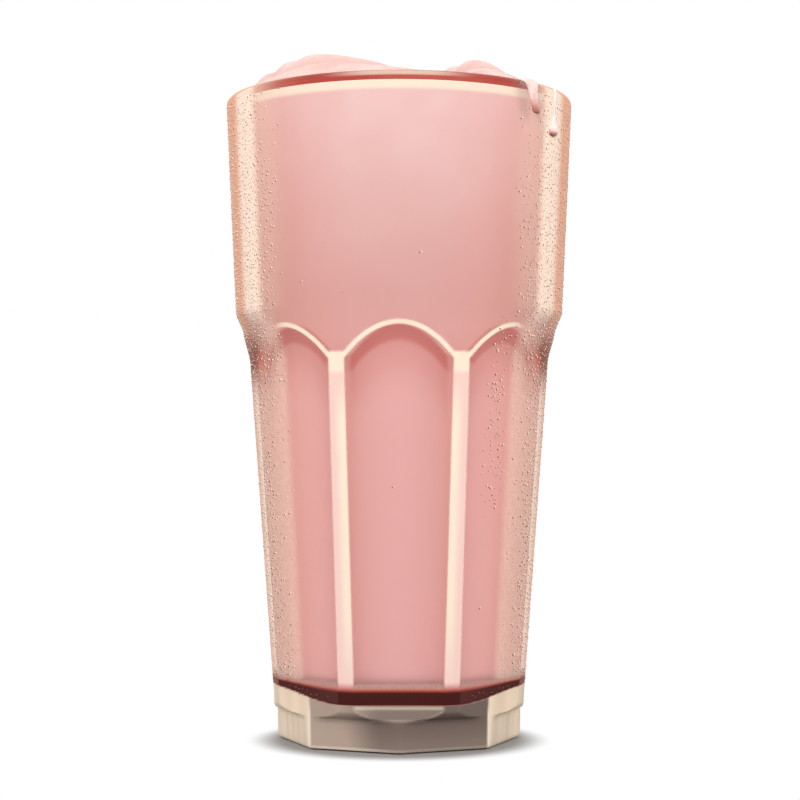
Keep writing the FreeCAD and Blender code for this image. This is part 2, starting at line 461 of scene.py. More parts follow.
@dataclass(frozen=True)
class FrothFinish:
    """Soft pink froth with fine bubbles."""

    pale: tuple = linear(227, 196, 188)
    rosy: tuple = linear(215, 172, 165)
    roughness: float = 0.5
    softness: float = 0.25
    depth: tuple = (0.004, 0.002, 0.0015)      # to which light sinks in, in metres

    def material(self) -> bpy.types.Material:
        """Pale froth, rosier in its folds."""
        wiring = Wiring("froth")
        mottle = wiring.ramp(wiring.noise(120.0, 3.0, 0.6), 0.35, 0.7)
        colour = wiring.blend(mottle, self.pale, self.rosy)
        colour = wiring.blend(wiring.attribute("fold"), colour, self.rosy)
        bubbles = wiring.add("ShaderNodeTexVoronoi", {"Vector": wiring.place(), "Scale": 900.0})
        normal = wiring.bump(bubbles.outputs["Distance"], 0.00015, 0.5)
        return wiring.coat(colour, self.roughness,
                           {"Normal": normal, "Subsurface Weight": self.softness,
                            "Subsurface Radius": self.depth, "Subsurface Scale": 1.0})


@dataclass(frozen=True)
class FilmFinish:
    """Painted highlights on the pressed ribs, arches and foot, painted shade and reflection, and the haze of
    condensation with a painted sheen.
    """

    # painted highlight on the ribs and arches: cream on their lit half, blush on the other
    cream: tuple = linear(227, 212, 194)
    blush: tuple = linear(223, 191, 184)
    haze_and_sheen: tuple = linear(246, 226, 210)
    speck: tuple = linear(186, 134, 106)
    # painted reflection, tan where the wall turns away from the viewer
    tan: tuple = linear(220, 152, 116)
    # painted shade round the foot of the drink and under the shoulder: rosy, darkest at the foot, browner
    # where the wall turns away
    rosy: tuple = linear(176, 84, 76)
    bottom_shade: tuple = linear(58, 14, 11)
    brown: tuple = linear(122, 54, 36)
    # painted shade and painted light on the foot: grey-brown towards the front, cream on its side faces
    foot_pale: tuple = linear(168, 150, 138)
    foot_dark: tuple = linear(104, 91, 85)
    foot_cream: tuple = linear(234, 214, 190)
    glint: tuple = linear(240, 226, 208)
    roughness: float = 0.4
    gloss: float = 0.15
    speck_scale: float = 2400.0

    def material(self) -> bpy.types.Material:
        """A skin that is solid on the ribs and foot, hazy at the sides and tan where the wall turns away, as
        a painted reflection.
        """
        wiring = Wiring("rib_light_and_haze")
        facing = wiring.add("ShaderNodeLayerWeight", {"Blend": 0.5}).outputs["Facing"]
        speckle = wiring.ramp(wiring.noise(self.speck_scale, 1.0, 0.6), 0.35, 0.62, 0.35, 0.0)
        rib, haze_and_sheen = wiring.attribute("rib"), wiring.attribute("haze_and_sheen")
        painted_shade, foot = wiring.attribute("painted_shade"), wiring.attribute("foot")
        # painted reflection: tan where the wall turns away from the viewer
        edge = wiring.maths("MULTIPLY", wiring.ramp(facing, 0.63, 0.74), 0.95)
        # painted highlight on the ribs and arches
        lit = wiring.maths("MULTIPLY", rib, wiring.ramp(facing, 0.42, 0.6, 1.0, 0.6))
        colour = wiring.blend(speckle, self.haze_and_sheen, self.speck)
        colour = wiring.blend(edge, colour, self.tan)
        colour = wiring.blend(lit, colour, wiring.blend(wiring.attribute("inner"), self.blush, self.cream))
        # painted shade round the foot of the drink and under the shoulder, browner where the wall turns away
        dark = wiring.blend(wiring.ramp(painted_shade, 0.3, 0.95), self.rosy, self.bottom_shade)
        dark = wiring.blend(wiring.ramp(facing, 0.3, 0.6), dark, self.brown)
        painted_shade_cover = wiring.ramp(painted_shade, 0.0, 0.5)
        colour = wiring.blend(painted_shade_cover, colour, dark)
        # painted shade and painted light on the foot, with painted glints
        ground = wiring.blend(wiring.attribute("foot_shade"), self.foot_pale, self.foot_dark)
        ground = wiring.blend(wiring.attribute("foot_side_light"), ground, self.foot_cream)
        ground = wiring.blend(wiring.attribute("glint"), ground, self.glint)
        colour = wiring.blend(foot, colour, ground)
        cover = wiring.maths("MAXIMUM", haze_and_sheen, edge)
        for mask, share in ((rib, 0.97), (painted_shade_cover, 0.96), (foot, 0.9)):
            cover = wiring.maths("MAXIMUM", cover, wiring.maths("MULTIPLY", mask, share))
        return wiring.coat(colour, self.roughness, {"Alpha": cover, "Specular IOR Level": self.gloss})


@dataclass(frozen=True)
class BeadFinish:
    """Fine beads of condensation, painted pale or dark as lit and shaded copies, for the light that each one
    bends.
    """

    name: str
    colour: tuple
    roughness: float = 0.12

    def material(self) -> bpy.types.Material:
        """Wet beads, a little uneven in tone."""
        wiring = Wiring(self.name)
        tone = wiring.ramp(wiring.noise(700.0, 1.0), 0.3, 0.7, 0.75, 1.15)
        colour = wiring.add("ShaderNodeVectorMath", {0: self.colour[:3], "Scale": tone}, operation="SCALE")
        return wiring.coat(colour.outputs[0], self.roughness)


@dataclass(frozen=True)
class SpillFinish:
    """Milk that ran over the lip, browner towards the end of a run as painted shade."""

    milk: tuple = linear(242, 206, 202)
    brown: tuple = linear(158, 88, 74)
    roughness: float = 0.18
    softness: float = 0.2
    depth: tuple = (0.002, 0.001, 0.0008)      # to which light sinks in, in metres

    def material(self) -> bpy.types.Material:
        """Wet pink, darker towards the end of a run."""
        wiring = Wiring("spilled_milk")
        colour = wiring.blend(wiring.attribute("end"), self.milk, self.brown)
        colour = wiring.blend(wiring.ramp(wiring.noise(500.0), 0.4, 0.7, 0.0, 0.25), colour, self.brown)
        return wiring.coat(colour, self.roughness,
                           {"Subsurface Weight": self.softness, "Subsurface Radius": self.depth,
                            "Subsurface Scale": 1.0})


@dataclass(frozen=True)
class LipFilmFinish:
    """Milk on the inside of the lip, painted red-brown as the shade seen through the bend of the glass."""

    name: str = "lip_film"
    colour: tuple = linear(170, 46, 28)
    pale: tuple = linear(190, 90, 72)
    glint: tuple = linear(255, 236, 216)
    end: tuple = linear(222, 172, 136)
    roughness: float = 0.3
    gloss: float = 0.2

    def material(self) -> bpy.types.Material:
        """Red-brown, a little uneven, tan towards its two ends as a painted reflection, and with a painted
        glint.
        """
        wiring = Wiring(self.name)
        colour = wiring.blend(wiring.ramp(wiring.noise(60.0), 0.35, 0.65, 0.0, 0.5), self.colour, self.pale)
        colour = wiring.blend(wiring.attribute("end"), colour, self.end)
        colour = wiring.blend(wiring.attribute("glint"), colour, self.glint)
        return wiring.coat(colour, self.roughness, {"Specular IOR Level": self.gloss})


@dataclass(frozen=True)
class FloorFinish:
    """White floor with a painted ring of shadow round the foot, in which the lamps' own shadow also shows."""

    plain: tuple = (0.3, 0.295, 0.29, 1.0)
    shadow_from: float = 0.0285    # metres from the middle, where the shadow starts to fade
    shadow_to: float = 0.0385
    shadow_forward: float = 0.0035

    def material(self) -> bpy.types.Material:
        """White, with the backdrop's own white added away from the foot, so that the grey ring left round the
        foot is a painted shadow.
        """
        wiring = Wiring("white_floor")
        parts = wiring.add("ShaderNodeSeparateXYZ", {0: wiring.place()})
        forward = wiring.maths("ADD", parts.outputs[1], self.shadow_forward)
        squares = [wiring.maths("MULTIPLY", length, length) for length in (parts.outputs[0], forward)]
        distance = wiring.maths("SQRT", wiring.maths("ADD", *squares))
        away = wiring.ramp(distance, self.shadow_from, self.shadow_to)
        plain = wiring.add("ShaderNodeBsdfDiffuse", {"Color": self.plain})
        glow = wiring.add("ShaderNodeEmission", {"Color": WHITE, "Strength": 1.0})
        share = wiring.maths("MULTIPLY", wiring.seen(), away)
        floor = wiring.add("ShaderNodeMixShader", {0: share, 1: plain.outputs[0], 2: glow.outputs[0]})
        return wiring.finish(floor.outputs[0])


# --- the tumbler ---------------------------------------------------------------------------


@dataclass
class Tumbler:
    """The pressed glass: its outer and inner walls as formulas, and the meshes made from them."""

    height: float = 160.0
    rim_radius: float = 43.6
    lip_wall: float = 2.9
    lip_round_share: float = 0.46
    band_foot_radius: float = 41.0
    band_depth: float = 54.0
    shoulder_height: float = 4.0
    shoulder_top_round: float = 3.0
    shoulder_foot_round: float = 5.0
    flute_count: int = 8
    rib_top_radius: float = 39.2
    rib_foot_radius: float = 32.5
    rib_top_width: float = 3.3
    rib_foot_width: float = 4.0
    hollow_radius: float = 200.0
    arch_drop: float = 0.5
    arch_lean: float = 22.5
    arch_round: float = 9.0
    flute_foot_round: float = 14.0
    foot_height: float = 12.4
    foot_top_apothem: float = 28.6
    foot_bottom_apothem: float = 28.2
    foot_chamfer: float = 0.8
    flute_foot_slope: float = 0.15
    foot_fillet: float = 0.4
    floor_thickness: float = 12.4
    floor_corner_radius: float = 7.0
    panel_wall: float = 2.2
    cavity_bend_radius: float = 160.0
    freeboard: float = 2.0
    edge_softness: float = 0.12
    arch_end: float = 0.02         # height over which a flute's cut ends above its arch
    film_gap: float = 0.05
    arch_light_end: float = 15.8   # degrees from a flute's middle, where its light runs on straight
    rib_light_start: float = 19.6  # and where that light meets the rib's
    arc_steps: int = 12
    finish: ClearGlass = field(default_factory=ClearGlass)

    def __post_init__(self) -> None:
        """Works out the outlines that the walls follow."""
        self.band_foot = self.height - self.band_depth
        self.rib_top = self.band_foot - self.shoulder_height
        self.level = self.height - self.freeboard
        self.pitch = 2.0 * math.pi / self.flute_count
        flute_top = self.flute_distance(self.rib_top_radius, self.rib_top_width)
        flute_foot = self.flute_distance(self.rib_foot_radius, self.rib_foot_width)
        slope = math.tan(math.radians(self.arch_lean))
        arch_top = self.rib_top - self.arch_drop
        self.flute_top_height = arch_top - (self.rib_top_radius - flute_top) / slope
        self.lip_round = self.lip_round_share * self.lip_wall
        self.bore_rim = self.rim_radius - self.lip_wall
        rib_slope = (self.rib_top_radius - self.rib_foot_radius) / (self.rib_top - self.foot_height)
        self.outline = rounded_outline([
            (self.rib_foot_radius - rib_slope * self.foot_height, 0.0, 0.0),
            (self.rib_top_radius, self.rib_top, self.shoulder_foot_round),
            (self.band_foot_radius, self.band_foot, self.shoulder_top_round),
            (self.rim_radius, self.height, self.lip_round),
            (self.bore_rim, self.height, self.lip_round),
            (flute_top - self.panel_wall, self.flute_top_height, self.cavity_bend_radius),
            (flute_foot - self.panel_wall, self.floor_thickness, self.floor_corner_radius),
            (0.0, self.floor_thickness, 0.0),
        ], self.arc_steps)
        crest = int(np.argmax(self.outline[:, 1]))
        self.outside = self.outline[:crest + 1]
        self.inside = self.outline[crest + 1:][::-1]
        upright = flute_foot - self.flute_foot_slope
        reach = self.rim_radius + self.lip_wall
        self.flute_outline = rounded_outline([
            (upright - self.foot_chamfer, 0.0, 0.0),
            (upright, self.foot_chamfer, 0.0),
            (flute_foot, self.foot_height, self.flute_foot_round),
            (flute_top, self.flute_top_height, self.arch_round),
            (self.rib_top_radius, arch_top, 0.0),
            (self.rib_top_radius + reach, arch_top + self.arch_end, 0.0),
        ])
        self.bullnose = self.rib_foot_radius - self.foot_top_apothem
        self.foot_outline = rounded_outline([
            (self.foot_bottom_apothem - self.foot_chamfer, 0.0, 0.0),
            (self.foot_bottom_apothem, self.foot_chamfer, 0.3),
            (self.foot_top_apothem, self.foot_height - self.bullnose - self.foot_fillet, self.foot_fillet),
            (self.rib_foot_radius + self.foot_fillet, self.foot_height - self.bullnose - self.foot_fillet,
             self.bullnose),
            (self.rib_foot_radius + self.foot_fillet, self.foot_height, 0.0),
        ], 16)

    def flute_distance(self, rib_radius: float, rib_width: float) -> float:
        """Axis to the middle of a flute that leaves a rib of the given width."""
        half_angle = math.pi / self.flute_count - math.asin(0.5 * rib_width / rib_radius)
        half_chord = rib_radius * math.sin(half_angle)
        sag = self.hollow_radius - math.sqrt(self.hollow_radius ** 2 - half_chord ** 2)
        return rib_radius * math.cos(half_angle) - sag

    def envelope(self, heights: np.ndarray) -> np.ndarray:
        """Outside radius at each height, before the flutes and the foot are cut."""
        return np.interp(heights, self.outside[:, 1], self.outside[:, 0])

    def bore(self, heights: np.ndarray) -> np.ndarray:
        """Inside radius at each height."""
        return np.interp(heights, self.inside[:, 1], self.inside[:, 0])

    def flute(self, turns: np.ndarray, heights: np.ndarray) -> np.ndarray:
        """Radius of the nearest flute's surface.

        Args:
            turns: angle from the middle of that flute.
            heights: height of each point.

        Returns:
            The radius at each point.
        """
        distance = np.interp(heights, self.flute_outline[:, 1], self.flute_outline[:, 0])
        middle = distance + self.hollow_radius
        return middle * np.cos(turns) - np.sqrt(self.hollow_radius ** 2 - (middle * np.sin(turns)) ** 2)

    def foot(self, turns: np.ndarray, heights: np.ndarray) -> np.ndarray:
        """Radius of the nearest foot face, whose middle is half a pitch from a flute's."""
        distance = np.interp(heights, self.foot_outline[:, 1], self.foot_outline[:, 0])
        distance = np.where(heights > self.foot_height, self.rim_radius * 2.0, distance)
        return distance / np.cos(0.5 * self.pitch - np.abs(turns))

    def turn_of(self, azimuths: np.ndarray) -> np.ndarray:
        """Angle from the middle of the nearest flute, for each azimuth."""
        return (azimuths - FRONT + 0.5 * self.pitch) % self.pitch - 0.5 * self.pitch

    def outer_radius(self, azimuths: np.ndarray, heights: np.ndarray) -> np.ndarray:
        """Outside radius of the finished glass.

        Args:
            azimuths: of each point.
            heights: of each point.

        Returns:
            The radius at each point.
        """
        turns = self.turn_of(azimuths)
        radius = soft_least(self.envelope(heights), self.flute(turns, heights), self.edge_softness)
        return soft_least(radius, self.foot(turns, heights), self.edge_softness)

    def arch_height(self, azimuths: np.ndarray) -> np.ndarray:
        """Height at which the flute under each azimuth ends."""
        heights = np.linspace(self.flute_top_height - 2.0, self.rib_top + 1.0, 601)[:, None]
        turns = self.turn_of(azimuths)[None, :]
        cut = self.flute(turns, heights) < self.envelope(heights)
        last = cut.shape[0] - 1 - np.argmax(cut[::-1], axis=0)
        found = heights[last, 0]
        return np.where(cut.any(axis=0), found, self.flute_top_height)

    def columns(self) -> np.ndarray:
        """Azimuths of the mesh's columns, close together beside the ribs and in the middle of a flute."""
        half = np.concatenate([
            np.linspace(0.0, 3.0, 5)[:-1],
            np.linspace(3.0, 17.8, 10)[:-1],
            np.linspace(17.8, 21.4, 12)[:-1],
            np.linspace(21.4, 22.5, 3),
        ])
        period = np.radians(np.concatenate([-half[:0:-1], half[:-1]]))
        return (FRONT + np.arange(self.flute_count)[:, None] * self.pitch + period[None, :]).ravel()

    def outer_heights(self, azimuths: np.ndarray) -> np.ndarray:
        """Heights of the outer wall's rings, which follow the arches.

        Args:
            azimuths: of the columns.

        Returns:
            Rings by columns.
        """
        low, high = self.flute_top_height - 8.0, self.band_foot + 4.0
        nose = self.foot_height - self.bullnose
        arc = nose + self.bullnose * (1.0 - np.cos(np.linspace(0.0, 0.5 * math.pi, 20)))
        plain = np.concatenate([
            [0.0, 0.4, 0.8, 1.3, 2.5, 4.5, 6.5, 7.4, nose - 0.35, nose - 0.15],
            arc,
            np.linspace(self.foot_height + 0.2, self.foot_height + 5.3, 18),
            np.linspace(self.foot_height + 6.5, low, 24),
        ])
        arch = self.arch_height(azimuths)
        graded = 1.0 - np.linspace(1.0, 0.0, 22)[1:] ** 1.6
        below = low + (arch[None, :] - low) * graded[:, None]
        graded = np.linspace(0.0, 1.0, 34)[1:] ** 1.35
        above = arch[None, :] + (high - arch[None, :]) * graded[:, None]
        band = np.linspace(high, self.outside[-self.arc_steps, 1], 14)[1:-1]
        spread = np.ones((1, len(azimuths)))
        return np.vstack([plain[:, None] * spread, below, above, band[:, None] * spread])

    def build(self) -> bpy.types.Object:
        """The glass, as one closed mesh in place of its solid."""
        azimuths = self.columns()
        heights = self.outer_heights(azimuths)
        radii = self.outer_radius(azimuths[None, :], heights)
        spread = np.ones((1, len(azimuths)))
        lip = self.outline[len(self.outside) - self.arc_steps:len(self.outside) + self.arc_steps]
        inside = self.inner_profile()
        profile = np.vstack([lip, inside])
        base = np.array([[0.33, 0.0], [0.66, 0.0]])
        base_radii = base[:, :1] * radii[:1]
        radii = np.vstack([base_radii, radii, profile[:, :1] * spread])
        heights = np.vstack([np.zeros_like(base_radii), heights, profile[:, 1:] * spread])
        points, faces = capped_rings(radii, heights, azimuths)
        glass = mesh_object("glass_wall", points, faces, self.finish.material())
        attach(glass, BODY)
        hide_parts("glass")
        return glass

    def inner_profile(self) -> np.ndarray:
        """Radius and height down the inner wall and in across the floor."""
        top = self.outline[len(self.outside) + self.arc_steps - 1, 1]
        corner = self.floor_thickness + self.floor_corner_radius
        heights = np.linspace(top, corner + 1.0, 40)[1:]
        wall = np.column_stack([self.bore(heights), heights])
        turn = self.inside[self.inside[:, 1] <= corner + 0.9][::-1]
        floor_end = turn[-2, 0] if turn[-1, 0] == 0.0 else turn[-1, 0]
        turn = turn[turn[:, 0] > 0.0]
        floor = np.column_stack([floor_end * FLOOR_RINGS[::-1], np.full(3, self.floor_thickness)])
        return np.vstack([wall, turn, floor])

    def from_side(self, azimuths: np.ndarray) -> np.ndarray:
        """Degrees from the X axis, 0 at either side of the glass and 90 in front and behind."""
        return np.degrees(np.arcsin(np.abs(np.sin(azimuths))))

    def drink_line(self, azimuths: np.ndarray) -> np.ndarray:
        """Height at which the foot of the glass takes over from the drink, higher at the sides."""
        return self.foot_height - 0.7 + 3.3 * smooth_step(60.0, 15.0, self.from_side(azimuths))

    def arch_line(self, azimuths: np.ndarray) -> tuple[np.ndarray, np.ndarray]:
        """Line of light over a flute, which runs on straight over the ribs beside it.

        Args:
            azimuths: of each point.

        Returns:
            The line's height, and its rise per radian away from the flute's middle.
        """
        turns = np.radians(np.linspace(0.0, self.arch_light_end, 80))
        arch = self.arch_height(FRONT + turns)
        rise = np.gradient(arch, turns)
        here = np.abs(self.turn_of(azimuths))
        beyond = np.clip(here - turns[-1], 0.0, math.radians(self.rib_light_start - self.arch_light_end))
        return np.interp(here, turns, arch) + rise[-1] * beyond, np.interp(here, turns, rise)


@dataclass
class LightFilm:
    """Skin on the outside of the glass: painted light on its ribs, arches and foot, painted shade round the
    foot of the drink and under the shoulder, and haze of condensation.

    Pairs give where a soft edge is empty and where it is full. Sides are in degrees from the X axis.
    """

    tumbler: Tumbler
    haze_side: tuple = (38.5, 33.5)            # on the band
    haze_share: float = 0.66
    thin_haze_side: tuple = (54.0, 38.0)
    thin_haze_share: float = 0.3
    flank_side: tuple = (43.0, 36.0)           # below the band
    flank_share: float = 0.36
    # painted sheen: a pale stripe down each side flute, below the band
    stripe: tuple = (40.5, 2.6)                # middle and width
    stripe_share: float = 0.2
    # painted shade round the foot of the drink
    dark_line: tuple = (3.9, 2.5)              # height over the foot of the drink
    dark_tail: tuple = (6.0, 3.6)
    dark_line_share: float = 0.65
    dark_line_front: tuple = (20.0, 60.0)      # side over which the dark line grows to its full height
    dark_line_least: float = 0.45              # of its height, at the sides
    # painted shade under the ends of the shoulder
    shoulder: tuple = (95.0, 7.5)              # middle and width of the dark patch
    shoulder_side: tuple = (42.0, 24.0)
    shoulder_share: float = 0.48
    # where the painted highlight lies on the ribs and arches
    rib_edge: tuple = (2.3, 1.7)               # from a rib's middle
    rib_foot: tuple = (3.3, 4.0)               # over the foot of the drink
    rib_head: tuple = (0.9, 0.3)               # over the arch's line
    arch_lower: tuple = (-0.35, 0.0)
    arch_upper: tuple = (1.25, 0.65)
    arch_side: tuple = (36.0, 47.0)
    cream_edge: tuple = (-1.3, 1.0)            # across a rib
    cream_head: tuple = (90.0, 78.0)
    cream_foot: tuple = (12.0, 34.0)
    bright_head: tuple = (-2.8, -2.0)          # over the arch's line
    # painted light and shade on the foot, and painted glints on its edges and lens
    foot_edge: tuple = (0.05, -0.2)            # over the foot of the drink
    lens_across: tuple = (11.6, 10.0)          # from a flute's middle, along the wall
    lens_side: tuple = (62.0, 70.0)
    lens_lowest: float = 8.1
    lens_flat: float = 6.2                     # half width of its lowest stretch
    lens_slope: float = 5.2                    # width over which its tip climbs
    lens_climb: float = 2.5
    lens_line: tuple = (0.22, 0.2)             # width and share
    drink_glint: tuple = (-0.7, 0.35, 0.4)     # height over the foot of the drink, width and share
    base_edge: tuple = (1.15, 0.85)
    base_left: float = 0.75                    # share of the base's glint at the left
    base_fade: float = 0.5                     # and how much of it is lost by the right
    base_x: tuple = (-15.0, 5.0)
    corner_across: tuple = (0.55, 0.15)
    corner_head: tuple = (12.0, 8.0)
    corner_side: tuple = (75.0, 60.0)
    corner_share: float = 0.85
    streaks: int = 90                          # bands of light round the sides of the foot
    streak_seed: int = 5
    streak_share: float = 0.6
    facet_side: tuple = (46.0, 44.0)
    shade_least: float = 0.1
    shade_rise: float = 0.95
    shade_x: tuple = (-15.0, -4.0)
    shade_low: tuple = (8.0, 0.5)
    shade_loss: float = 0.3                    # of the shade, low on the foot and within the lens
    lens_edge: tuple = (-0.2, 0.2)
    finish: FilmFinish = field(default_factory=FilmFinish)

    def haze_and_sheen(self, side: np.ndarray, heights: np.ndarray) -> np.ndarray:
        """How thick the condensation is, which is most on the two sides of the glass, with a painted sheen
        stripe down the side flutes.

        Args:
            side: degrees from the X axis of each point.
            heights: of each point.

        Returns:
            0 to 1 at each point.
        """
        above = smooth_step(self.tumbler.rib_top - 1.0, self.tumbler.band_foot, heights)
        band = smooth_step(*self.haze_side, side) * self.haze_share
        band = band + smooth_step(*self.thin_haze_side, side) * self.thin_haze_share
        stripe = hump(*self.stripe, side) * self.stripe_share
        flank = smooth_step(*self.flank_side, side) * self.flank_share
        return above * band + (1.0 - above) * (stripe + flank)

    def painted_shade(self, side: np.ndarray, heights: np.ndarray, over: np.ndarray) -> np.ndarray:
        """How dark the painted shade is round the foot of the drink and under the shoulder's ends.

        Args:
            side: degrees from the X axis of each point.
            heights: of each point.
            over: their height over the foot of the drink.

        Returns:
            0 to 1 at each point.
        """
        growth = 1.0 - self.dark_line_least
        rise = over / (self.dark_line_least + growth * smooth_step(*self.dark_line_front, side))
        line = smooth_step(*self.dark_line, rise) * self.dark_line_share
        line = line + smooth_step(*self.dark_tail, rise) * (1.0 - self.dark_line_share)
        line *= smooth_step(-0.15, 0.1, over)
        shoulder = hump(*self.shoulder, heights) * smooth_step(*self.shoulder_side, side)
        return np.maximum(line, shoulder * self.shoulder_share)

    def rib_masks(self, azimuths: np.ndarray, heights: np.ndarray,
                  radii: np.ndarray) -> dict[str, np.ndarray]:
        """Where the painted highlight lies on the ribs and arches.

        Args:
            azimuths: of each point.
            heights: of each point.
            radii: of each point.

        Returns:
            The cover of the painted highlight, and the share of it that is cream, not blush.
        """
        cup = self.tumbler
        side = cup.from_side(azimuths)
        across = (0.5 * cup.pitch - np.abs(cup.turn_of(azimuths)) * np.ones_like(heights)) * radii
        arch, rise = cup.arch_line(azimuths)
        above = (heights - arch) / np.sqrt(1.0 + (rise / radii) ** 2)
        land = smooth_step(*self.rib_edge, across) * smooth_step(*self.rib_head, above)
        land *= smooth_step(*self.rib_foot, heights - cup.drink_line(azimuths))
        line = smooth_step(*self.arch_lower, above) * smooth_step(*self.arch_upper, above)
        line *= smooth_step(*self.arch_side, side)
        half_pitch = math.degrees(0.5 * cup.pitch)
        inward = np.radians(side % (2.0 * half_pitch) - half_pitch) * radii
        cream = smooth_step(*self.cream_edge, inward) * smooth_step(*self.cream_head, heights)
        cream *= smooth_step(*self.cream_foot, heights)
        bright = smooth_step(*self.bright_head, above)
        return {"rib": np.maximum(land, line), "inner": np.maximum(cream, bright)}

    def foot_masks(self, azimuths: np.ndarray, heights: np.ndarray,
                   radii: np.ndarray) -> dict[str, np.ndarray]:
        """Painted light and shade on the foot.

        Args:
            azimuths: of each point.
            heights: of each point.
            radii: of each point.

        Returns:
            The cover of the foot's painted tone, its painted shade and painted light, and its painted bright
            edges.
        """
        cup = self.tumbler
        side = cup.from_side(azimuths)
        over = heights - cup.drink_line(azimuths)
        across = np.abs(cup.turn_of(azimuths)) * radii
        x = radii * np.cos(azimuths)
        climbed = np.clip((across - self.lens_flat) / self.lens_slope, 0.0, 1.0)
        tip = self.lens_lowest + self.lens_climb * climbed
        in_lens = smooth_step(*self.lens_across, across) * smooth_step(*self.lens_side, side)
        lens_width, lens_share = self.lens_line
        lens = hump(tip, lens_width, heights) * lens_share
        glint_height, glint_width, glint_share = self.drink_glint
        below_drink = hump(glint_height, glint_width, over) * glint_share
        base = smooth_step(*self.base_edge, heights)
        base = base * (self.base_left - self.base_fade * smooth_step(*self.base_x, x))
        corner = smooth_step(*self.corner_across, across) * smooth_step(*self.corner_head, heights)
        corner = corner * smooth_step(*self.corner_side, side) * self.corner_share
        glint = np.maximum.reduce([lens * in_lens, below_drink * in_lens, base, corner])
        stops = np.linspace(0.0, 360.0, self.streaks + 1)
        levels = np.random.default_rng(self.streak_seed).uniform(0.0, 0.5, len(stops))
        streaks = np.interp(np.degrees(azimuths) % 360.0, stops, levels)
        shade = self.shade_least + self.shade_rise * smooth_step(*self.shade_x, x)
        shade -= self.shade_loss * smooth_step(*self.shade_low, heights)
        shade -= self.shade_loss * in_lens * smooth_step(*self.lens_edge, heights - tip)
        foot = smooth_step(*self.foot_edge, over)
        cream = smooth_step(*self.facet_side, side) * (1.0 - streaks * self.streak_share)
        return {"foot": foot, "glint": glint * foot, "foot_shade": np.clip(shade, 0.0, 1.0),
                "foot_side_light": cream * np.ones_like(heights)}

    def build(self) -> bpy.types.Object:
        """The film as an open skin, from just above the floor to the bend of the lip.

        Returns:
            The new object.
        """
        cup = self.tumbler
        azimuths = cup.columns()[None, :]
        wall = cup.outer_heights(azimuths[0])
        lip = cup.outside[-cup.arc_steps:-cup.arc_steps // 3, 1]
        heights = np.vstack([wall[wall.mean(axis=1) > 0.2], lip[:, None] * np.ones_like(azimuths)])
        radii = cup.outer_radius(azimuths, heights)
        side = cup.from_side(azimuths) * np.ones_like(heights)
        masks = {"haze_and_sheen": self.haze_and_sheen(side, heights),
                 "painted_shade": self.painted_shade(side, heights, heights - cup.drink_line(azimuths)),
                 **self.rib_masks(azimuths, heights, radii), **self.foot_masks(azimuths, heights, radii)}
        points = turned_points(radii + cup.film_gap, heights, azimuths)
        film = mesh_object("rib_light", points, ring_faces(*heights.shape), self.finish.material(), masks)
        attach(film, BODY)
        film.visible_shadow = False
        return film


# --- what the tumbler holds ----------------------------------------------------------------


@dataclass
class Milkshake:
    """The drink, which reaches just into the wall."""

    tumbler: Tumbler
    reach: float = 0.08
    columns: int = 288
    near_shade: tuple = (4.2, 2.4, 0.42)       # depth under the arch's line, and share
    far_shade: tuple = (18.0, 3.0, 0.32)
    shade_start: tuple = (-1.3, -0.2)
    shade_ends: tuple = (21.5, 19.0)           # degrees from a flute's middle
    # painted shade at the foot of the drink, by height over the floor
    bottom_shade: tuple = (6.0, 0.8)                 # height over the floor
    # painted highlight: a pale band just under the level
    cream: tuple = (-2.6, -1.4)                # height over the level
    cream_side: tuple = (20.0, 38.0)           # degrees from the X axis
    paling: tuple = (158.0, 90.0)              # height
    # painted shade: deeper pink where the wall faces the sides, away from the front light
    flank: tuple = (0.15, 0.85)                # how far the wall faces sideways
    flank_share: float = 0.55
    finish: DrinkFinish = field(default_factory=DrinkFinish)

    def build(self) -> bpy.types.Object:
        """The drink as one closed mesh, with its painted shades and painted highlight as masks."""
        cup = self.tumbler
        azimuths = even_azimuths(self.columns)
        corner = cup.inside[cup.inside[:, 1] <= cup.floor_thickness + cup.floor_corner_radius + 0.9]
        corner = corner[corner[:, 0] > 0.0]
        heights = np.concatenate([
            np.linspace(cup.floor_thickness + cup.floor_corner_radius + 1.0, 88.0, 40),
            np.linspace(88.0, 106.0, 50)[1:],
            np.linspace(106.0, 154.0, 24)[1:],
            np.linspace(154.0, cup.level, 16)[1:],
        ])
        wall = np.column_stack([cup.bore(heights), heights])
        rim = corner[0, 0]
        floor = np.column_stack([rim * FLOOR_RINGS, np.full(3, cup.floor_thickness)])
        top = np.column_stack([wall[-1, 0] * np.array([0.97, 0.8, 0.5, 0.2]), np.full(4, cup.level)])
        profile = np.vstack([floor, corner, wall, top])
        spread = np.ones((1, self.columns))
        radii = (profile[:, :1] + self.reach) * spread
        levels = profile[:, 1:] * spread
        levels[:len(floor) + 2] -= self.reach
        points, faces = capped_rings(radii, levels, azimuths)
        turns = np.degrees(np.abs(cup.turn_of(azimuths)))
        below = cup.arch_line(azimuths)[0] - levels
        shade = sum(smooth_step(none, full, below) * share
                    for none, full, share in (self.near_shade, self.far_shade))
        flank = smooth_step(*self.flank, np.abs(np.cos(azimuths))) * self.flank_share
        masks = {
            "shade": shade * smooth_step(*self.shade_start, below) * smooth_step(*self.shade_ends, turns),
            "bottom_shade": smooth_step(*self.bottom_shade, levels - cup.floor_thickness),
            "cream": smooth_step(*self.cream, levels - cup.level)
                     * smooth_step(*self.cream_side, cup.from_side(azimuths)),
            "depth": smooth_step(*self.paling, levels),
            "flank": flank * np.ones_like(levels),
        }
        masks = {name: np.append(mask.ravel(), [mask[0].mean(), mask[-1].mean()])
                 for name, mask in masks.items()}
        drink = mesh_object("strawberry_milk", points, faces, self.finish.material(), masks)
        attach(drink, BODY)
        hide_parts("milkshake")
        return drink


